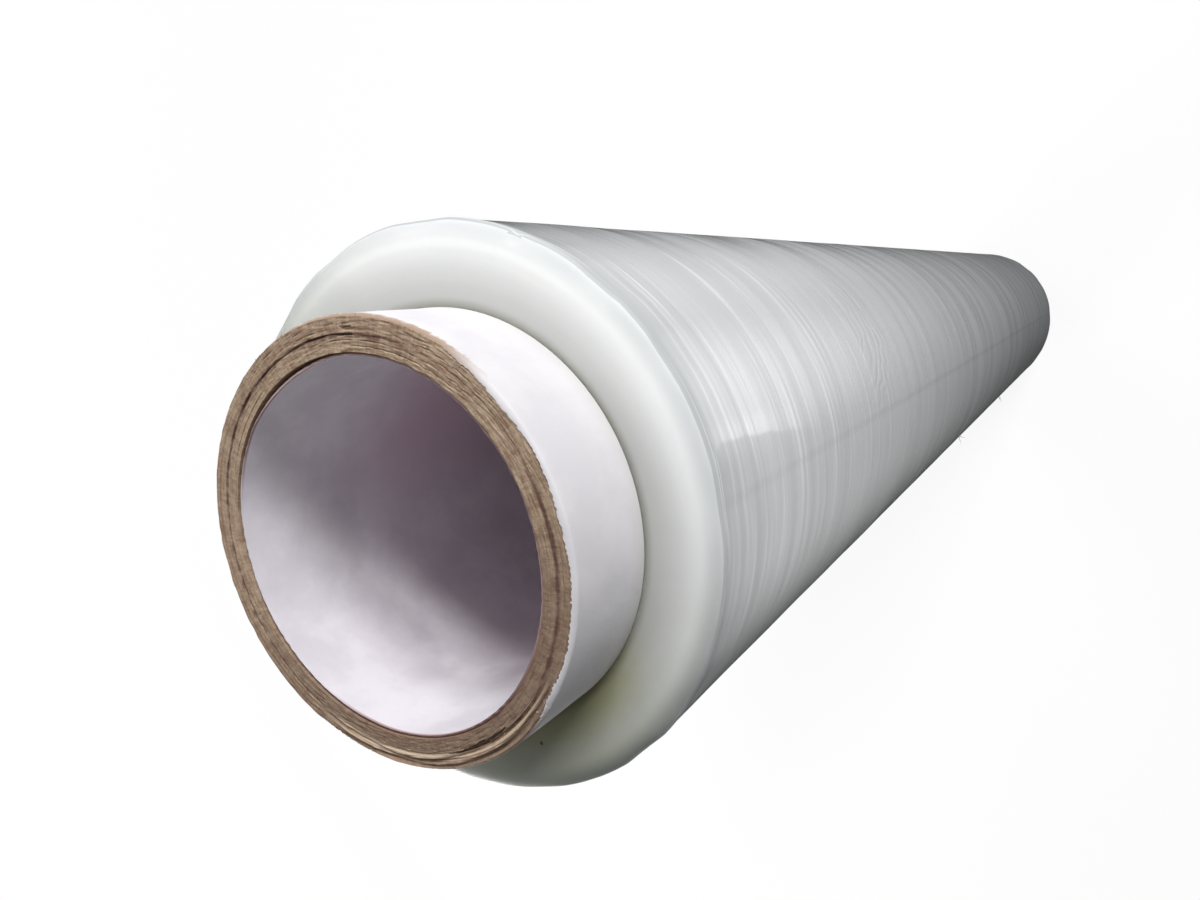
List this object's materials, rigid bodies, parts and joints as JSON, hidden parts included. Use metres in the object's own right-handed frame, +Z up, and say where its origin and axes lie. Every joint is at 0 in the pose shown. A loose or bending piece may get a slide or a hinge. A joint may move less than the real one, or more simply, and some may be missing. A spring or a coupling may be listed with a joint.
{
  "type": "stretch wrap roll",
  "caption": "Roll of clear stretch film wound on an open paper core, its core ends standing out past the film, for wrapping pallets and cartons.",
  "frame": {"origin": "centre of the lower core end, on the surface that the roll stands on", "axes": "+Z up along the core's axis, from the lower core end to the upper one; +X and +Y across the roll"},
  "size_m": [0.0831, 0.083, 0.532],
  "materials": {
    "film": "clear film that looks milky in the roll",
    "board": "brown recycled board, sawn",
    "liner_paper": "smooth white paper",
    "outer_paper": "smooth white paper with a torn edge"
  },
  "bodies": {
    "root": {"film_roll": "film", "core_board": "board", "core_liner": "liner_paper", "core_outer_ply": "outer_paper"}
  },
  "joints": []
}
